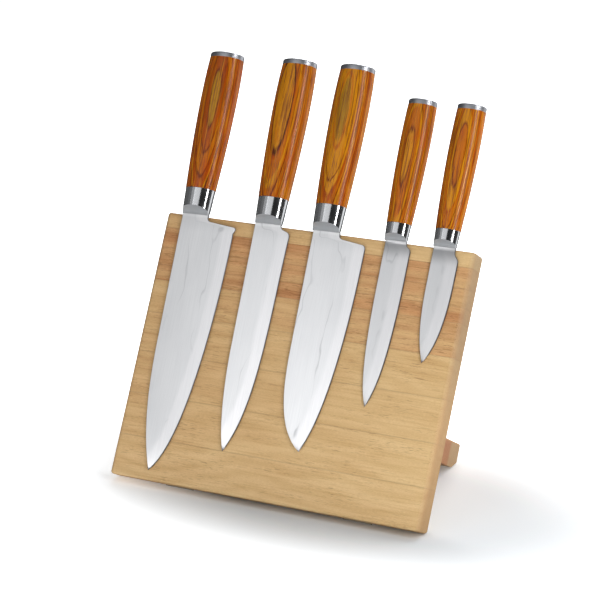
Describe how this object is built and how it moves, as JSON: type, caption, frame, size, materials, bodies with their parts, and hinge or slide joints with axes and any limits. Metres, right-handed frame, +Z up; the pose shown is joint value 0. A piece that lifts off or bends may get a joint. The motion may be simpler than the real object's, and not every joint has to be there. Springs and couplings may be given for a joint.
{
  "type": "magnetic knife block with knives",
  "caption": "Leaning magnetic wooden knife board on a rear foot, holding kitchen knives with steel ferrules, oval wooden handles and steel end caps.",
  "frame": {"origin": "middle of the object's footprint box, on the table", "axes": "+X across the board to the viewer's right, +Y from the board's front towards the foot behind it, +Z up"},
  "size_m": [0.26, 0.1666, 0.3127],
  "materials": {
    "board_light": "oiled, pale tan, fine horizontal grain",
    "board_warm": "oiled, warmer tan, fine horizontal grain",
    "foot_wood": "oiled, pale tan",
    "cover_wood": "oiled, pale tan",
    "dowel_wood": "plain beech",
    "handle_wood": "resin-filled laminated wood, glossy orange brown with dark looping figure",
    "blade_steel": "satin, faint wavy layered pattern",
    "ferrule_steel": "polished sides, matt bevels",
    "cap_steel": "polished rim, brushed butt",
    "magnet": "nickel-plated, dull",
    "pad_rubber": "matt"
  },
  "bodies": {
    "block": {"board_stave_1": "board_light", "board_stave_2": "board_warm", "board_stave_3": "board_warm", "board_stave_4": "board_warm", "board_stave_5": "board_warm", "board_stave_6": "board_light", "board_stave_7": "board_light", "board_stave_8": "board_light", "board_stave_9": "board_light", "magnet_upper_chef": "magnet", "magnet_upper_carving": "magnet", "magnet_upper_santoku": "magnet", "magnet_upper_utility": "magnet", "magnet_upper_paring": "magnet", "slot_cover_upper": "cover_wood", "magnet_lower_chef": "magnet", "magnet_lower_carving": "magnet", "magnet_lower_santoku": "magnet", "magnet_lower_utility": "magnet", "magnet_lower_paring": "magnet", "slot_cover_lower": "cover_wood", "rear_foot": "foot_wood", "foot_dowel_1": "dowel_wood", "foot_dowel_2": "dowel_wood", "foot_dowel_3": "dowel_wood", "board_pad_left": "pad_rubber", "board_pad_right": "pad_rubber", "foot_pad_left": "pad_rubber", "foot_pad_right": "pad_rubber"},
    "chef_knife": {"chef_knife_blade": "blade_steel", "chef_knife_ferrule": "ferrule_steel", "chef_knife_handle": "handle_wood", "chef_knife_end_cap": "cap_steel"},
    "carving_knife": {"carving_knife_blade": "blade_steel", "carving_knife_ferrule": "ferrule_steel", "carving_knife_handle": "handle_wood", "carving_knife_end_cap": "cap_steel"},
    "santoku_knife": {"santoku_knife_blade": "blade_steel", "santoku_knife_ferrule": "ferrule_steel", "santoku_knife_handle": "handle_wood", "santoku_knife_end_cap": "cap_steel"},
    "utility_knife": {"utility_knife_blade": "blade_steel", "utility_knife_ferrule": "ferrule_steel", "utility_knife_handle": "handle_wood", "utility_knife_end_cap": "cap_steel"},
    "paring_knife": {"paring_knife_blade": "blade_steel", "paring_knife_ferrule": "ferrule_steel", "paring_knife_handle": "handle_wood", "paring_knife_end_cap": "cap_steel"}
  },
  "joints": [
    {"name": "chef_knife_lift", "type": "slide", "parent": "block", "child": "chef_knife", "axis": [0, -0.8829, 0.4695], "range_m": [0, 0.12]},
    {"name": "carving_knife_lift", "type": "slide", "parent": "block", "child": "carving_knife", "axis": [0, -0.8829, 0.4695], "range_m": [0, 0.12]},
    {"name": "santoku_knife_lift", "type": "slide", "parent": "block", "child": "santoku_knife", "axis": [0, -0.8829, 0.4695], "range_m": [0, 0.12]},
    {"name": "utility_knife_lift", "type": "slide", "parent": "block", "child": "utility_knife", "axis": [0, -0.8829, 0.4695], "range_m": [0, 0.12]},
    {"name": "paring_knife_lift", "type": "slide", "parent": "block", "child": "paring_knife", "axis": [0, -0.8829, 0.4695], "range_m": [0, 0.12]}
  ]
}
